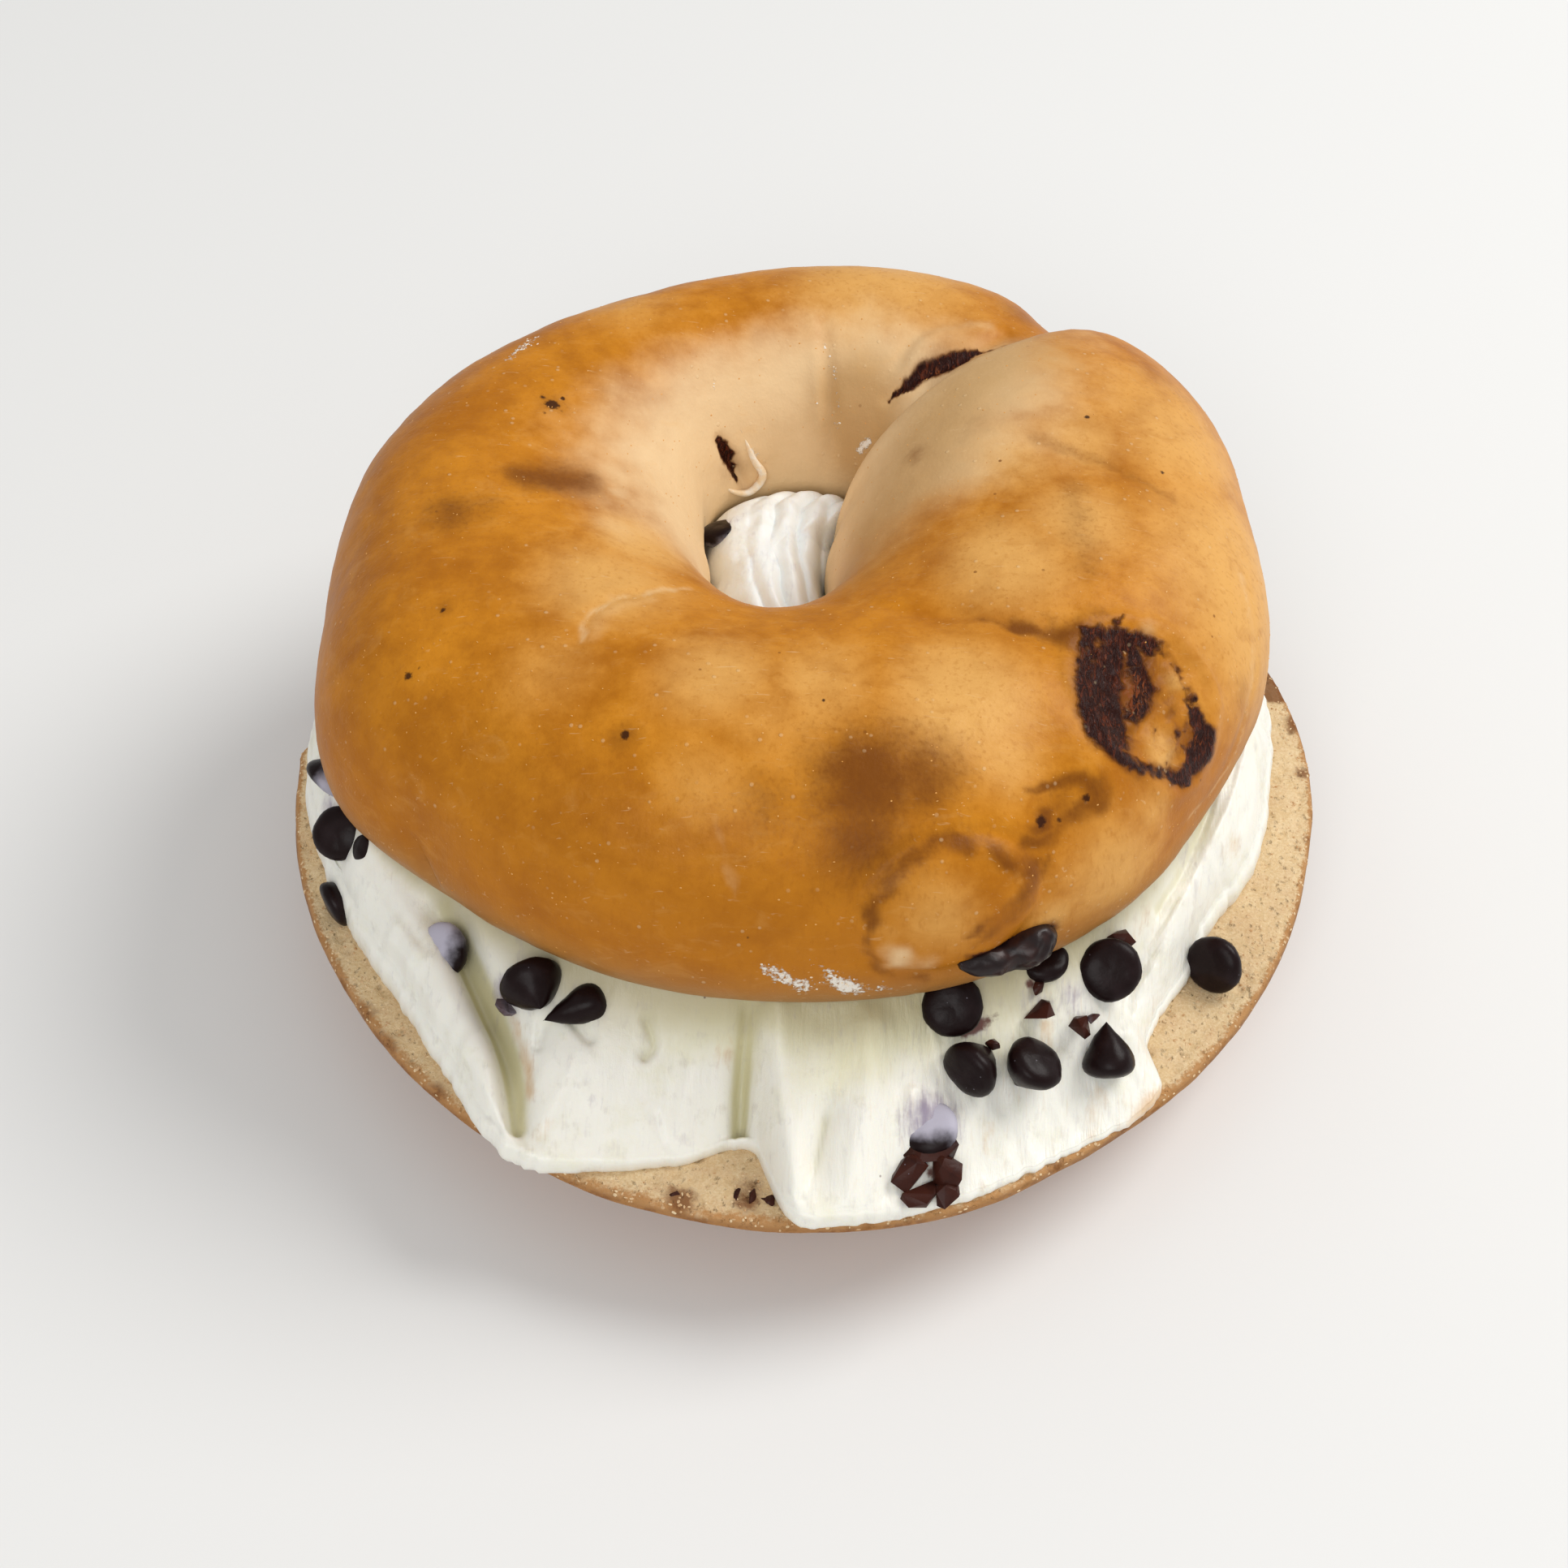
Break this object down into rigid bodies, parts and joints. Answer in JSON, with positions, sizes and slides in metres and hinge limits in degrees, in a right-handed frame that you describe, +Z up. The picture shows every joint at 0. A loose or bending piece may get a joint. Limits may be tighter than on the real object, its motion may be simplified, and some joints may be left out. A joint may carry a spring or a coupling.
{
  "type": "bagel with cream cheese",
  "caption": "Sliced ring-shaped bagel with a thick cream cheese filling, chocolate chips in the cream and a browned shiny crust.",
  "frame": {"origin": "under the middle of the footprint, on the plane the bagel rests on", "axes": "+Z up, the front with the open cream cheese towards -Y"},
  "size_m": [0.1118, 0.1145, 0.0512],
  "materials": {
    "crust_top": "baked crust, golden brown with darker patches, soft sheen",
    "crust_bottom": "toasted crumb on the cut face, browned crust below",
    "cream": "soft cream cheese, off-white, slightly glossy",
    "chocolate": "dark chocolate, satin"
  },
  "bodies": {
    "root": {"bagel_bottom": "crust_bottom", "cream_cheese": "cream", "bagel_top": "crust_top", "chip_front_a": "chocolate", "chip_front_b": "chocolate", "chip_front_c": "chocolate", "chip_front_d": "chocolate", "chip_front_e": "chocolate", "chip_front_g": "chocolate", "chip_rim_f": "chocolate", "chip_drowned_h": "chocolate", "chip_side_j": "chocolate", "chip_side_k": "chocolate", "chip_side_m": "chocolate", "chip_side_n": "chocolate", "chip_left_p": "chocolate", "chip_left_q": "chocolate", "chip_left_r": "chocolate", "chip_mound": "chocolate", "chip_back_a": "chocolate", "chip_back_b": "chocolate", "chip_back_c": "chocolate", "chip_back_d": "chocolate", "chip_back_e": "chocolate", "chip_back_f": "chocolate", "chunk_front": "chocolate", "chunk_crust": "chocolate"}
  },
  "joints": []
}
